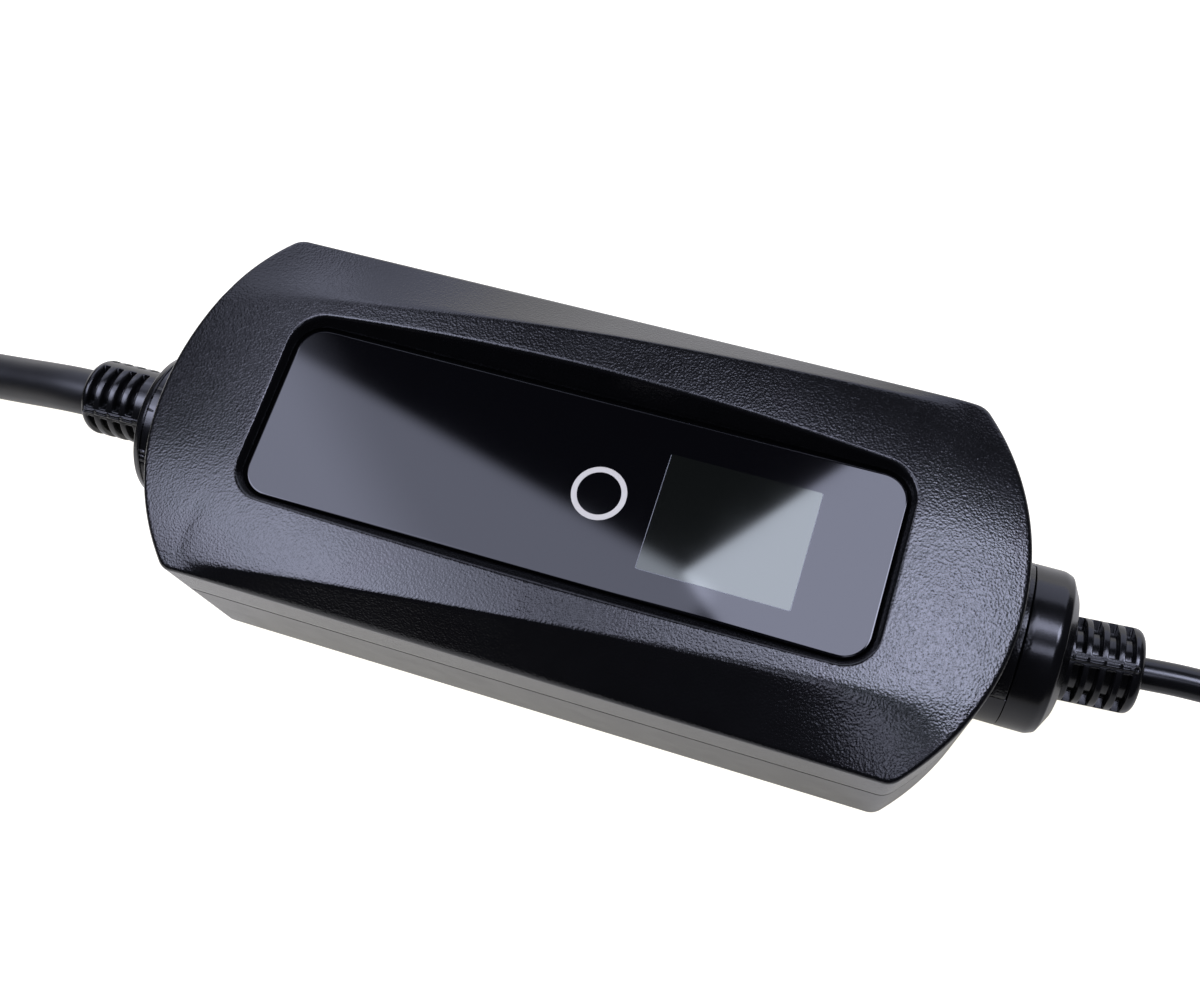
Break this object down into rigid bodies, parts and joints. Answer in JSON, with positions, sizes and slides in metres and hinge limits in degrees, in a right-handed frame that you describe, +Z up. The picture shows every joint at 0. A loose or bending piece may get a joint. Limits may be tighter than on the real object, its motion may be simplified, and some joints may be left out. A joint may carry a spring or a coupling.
{
  "type": "portable ev charger",
  "caption": "Flat black control box with a recessed glass touch panel and small screen, between a thick car cable and a thin mains cord, for charging an electric car from a wall socket.",
  "frame": {"origin": "middle of the box's underside, on the table", "axes": "+X along the box towards the thin supply cord, +Y across it to the far side, +Z up out of the glass panel"},
  "size_m": [0.9599, 0.1156, 0.113],
  "materials": {
    "lower_case_plastic": "moulded black plastic, satin",
    "cover_plastic": "moulded black plastic with a fine leather grain, semi-gloss",
    "seal_rubber": "soft rubber strip",
    "panel_glass": "black-backed glass, mirror gloss",
    "foam": "closed-cell foam",
    "ring_print": "white fired print, level with the glass",
    "screen": "flat screen module in a thin frame",
    "circuit_board": "coated glass-fibre board",
    "steel": "zinc-plated steel",
    "ribbon": "flat ribbon with sockets",
    "relay_case": "moulded relay covers",
    "black_component": "potted components",
    "capacitor": "boxed film capacitors",
    "terminal_plastic": "moulded terminal blocks",
    "core_insulation": "insulated copper cores",
    "inner_plastic": "glass-filled plastic",
    "relief_rubber": "moulded satin black elastomer",
    "cord_sheath": "extruded satin black sheath",
    "cable_sheath": "extruded satin black sheath",
    "strap_cloth": "woven fastening tape",
    "plug_plastic": "moulded black elastomer",
    "plated_contact": "nickel-plated brass",
    "connector_plastic": "moulded black plastic, satin",
    "cap_rubber": "moulded black rubber cap"
  },
  "bodies": {
    "root": {"lower_shell": "lower_case_plastic", "upper_shell": "cover_plastic", "case_seal": "seal_rubber", "glass_panel": "panel_glass", "panel_tape": "foam", "touch_ring": "ring_print", "screen_module": "screen", "screen_cushion": "foam", "touch_pillar": "foam", "control_board": "circuit_board", "control_screws": "steel", "board_ribbon": "ribbon", "power_board": "circuit_board", "power_screws": "steel", "relays": "relay_case", "fault_sensor": "black_component", "supply_converter": "black_component", "filter_capacitors": "capacitor", "supply_terminals": "terminal_plastic", "vehicle_terminals": "terminal_plastic", "supply_cores": "core_insulation", "vehicle_cores": "core_insulation", "supply_clamp": "inner_plastic", "vehicle_clamp": "inner_plastic", "clamp_screws": "steel", "case_screws": "steel", "supply_relief": "relief_rubber", "vehicle_relief": "relief_rubber", "supply_cord": "cord_sheath", "supply_hank": "cord_sheath", "supply_tail": "cord_sheath", "supply_strap": "strap_cloth", "plug_body": "plug_plastic", "plug_pins": "plated_contact", "plug_earth": "plated_contact", "vehicle_cable": "cable_sheath", "vehicle_hank": "cable_sheath", "vehicle_tail": "cable_sheath", "vehicle_straps": "strap_cloth", "connector_left": "connector_plastic", "connector_right": "connector_plastic", "connector_boot": "relief_rubber", "connector_nose": "inner_plastic", "connector_contacts": "plated_contact", "connector_cores": "core_insulation", "connector_cap": "cap_rubber", "connector_screws": "steel"}
  },
  "joints": []
}
